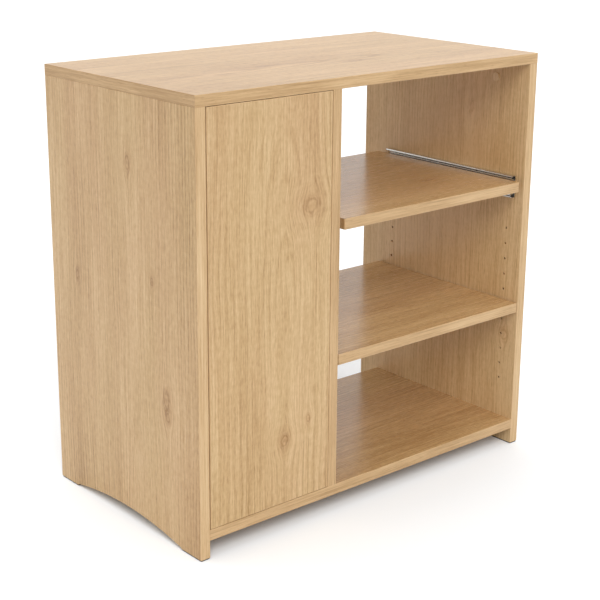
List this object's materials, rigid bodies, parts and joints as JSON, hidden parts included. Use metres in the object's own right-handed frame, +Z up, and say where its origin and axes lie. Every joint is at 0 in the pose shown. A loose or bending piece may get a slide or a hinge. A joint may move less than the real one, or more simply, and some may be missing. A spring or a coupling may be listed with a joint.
{
  "type": "side desk",
  "caption": "Floor-standing side desk in oak-decor board: a cupboard behind a flush push-open door, and open bays with a pull-out shelf on ball slides, between arched side panels.",
  "frame": {"origin": "on the floor, at the middle of the plan", "axes": "+X to the right as seen from the front, +Y from the front to the back, +Z up"},
  "size_m": [0.822, 0.455, 0.81],
  "materials": {
    "oak_board": "oak-decor laminate, satin",
    "oak_edge_band": "oak-decor edge band, satin",
    "oak_back_board": "oak-decor thin board",
    "oak_coloured_cap": "matt",
    "beech_dowel": "fluted raw wood",
    "die_cast_zinc": "bare casting",
    "zinc_plated_steel": "bright zinc",
    "nickel_plated_steel": "nickel plate",
    "polished_ball_steel": "polished",
    "cage_steel": "pressed strip",
    "spring_steel": "drawn wire",
    "grey_plastic": "moulded",
    "black_plastic": "moulded",
    "black_rubber": "matt"
  },
  "bodies": {
    "carcass": {"base_panel": "oak_board", "cam_bolts": "zinc_plated_steel", "cam_cover_caps": "oak_coloured_cap", "cam_housings": "die_cast_zinc", "carcass_edge_bands": "oak_edge_band", "cupboard_back_panel": "oak_back_board", "cupboard_shelf": "oak_board", "cupboard_shelf_pins": "nickel_plated_steel", "divider_panel": "oak_board", "floor_glides": "black_plastic", "hinge_arm_screws": "nickel_plated_steel", "hinge_plate_screws": "nickel_plated_steel", "latch_housing": "grey_plastic", "latch_screws": "zinc_plated_steel", "latch_spring": "spring_steel", "left_side_panel": "oak_board", "left_slide_outer": "zinc_plated_steel", "lower_hinge_arm": "nickel_plated_steel", "lower_hinge_plate": "nickel_plated_steel", "middle_shelf": "oak_board", "middle_shelf_pins": "nickel_plated_steel", "right_side_panel": "oak_board", "right_slide_outer": "zinc_plated_steel", "shelf_edge_bands": "oak_edge_band", "slide_cabinet_screws": "zinc_plated_steel", "slide_rear_bumpers": "black_rubber", "top_panel": "oak_board", "upper_hinge_arm": "nickel_plated_steel", "upper_hinge_plate": "nickel_plated_steel", "wooden_dowels": "beech_dowel"},
    "door": {"door_panel": "oak_board", "door_edge_bands": "oak_edge_band", "lower_hinge_cup": "nickel_plated_steel", "upper_hinge_cup": "nickel_plated_steel", "hinge_pins": "nickel_plated_steel", "hinge_cup_screws": "nickel_plated_steel", "strike_plate": "nickel_plated_steel", "strike_plate_screw": "zinc_plated_steel"},
    "latch_plunger": {"latch_plunger": "grey_plastic", "plunger_magnet": "nickel_plated_steel"},
    "pull_out": {"pull_out_shelf": "oak_board", "pull_out_shelf_bands": "oak_edge_band", "left_slide_inner": "zinc_plated_steel", "right_slide_inner": "zinc_plated_steel", "slide_shelf_screws": "zinc_plated_steel"},
    "slide_intermediates": {"left_slide_intermediate": "zinc_plated_steel", "right_slide_intermediate": "zinc_plated_steel", "slide_front_stops": "black_plastic"},
    "outer_cages": {"left_outer_cage": "cage_steel", "right_outer_cage": "cage_steel", "outer_cage_balls": "polished_ball_steel"},
    "inner_cages": {"left_inner_cage": "cage_steel", "right_inner_cage": "cage_steel", "inner_cage_balls": "polished_ball_steel"}
  },
  "joints": [
    {"name": "door_hinge", "type": "hinge", "parent": "carcass", "child": "door", "pos_m": [-0.371, -0.2209, 0.42225], "axis": [0, 0, -1], "range_deg": [0, 95]},
    {"name": "latch_press", "type": "slide", "parent": "carcass", "child": "latch_plunger", "axis": [0, 1, 0], "range_m": [0, 0.003], "stiffness_N_per_m": 400, "springref_m": -0.005, "deforming": ["latch_spring"]},
    {"name": "shelf_pull", "type": "slide", "parent": "carcass", "child": "pull_out", "axis": [0, -1, 0], "range_m": [0, 0.35]},
    {"name": "slide_intermediate_travel", "type": "slide", "parent": "carcass", "child": "slide_intermediates", "axis": [0, -1, 0], "range_m": [0, 0.175]},
    {"name": "outer_cage_travel", "type": "slide", "parent": "carcass", "child": "outer_cages", "axis": [0, -1, 0], "range_m": [0, 0.0875]},
    {"name": "inner_cage_travel", "type": "slide", "parent": "carcass", "child": "inner_cages", "axis": [0, -1, 0], "range_m": [0, 0.2625]}
  ],
  "couplings": [
    {"joint": "slide_intermediate_travel", "follows": "shelf_pull", "ratio": 0.5},
    {"joint": "outer_cage_travel", "follows": "shelf_pull", "ratio": 0.25},
    {"joint": "inner_cage_travel", "follows": "shelf_pull", "ratio": 0.75}
  ]
}
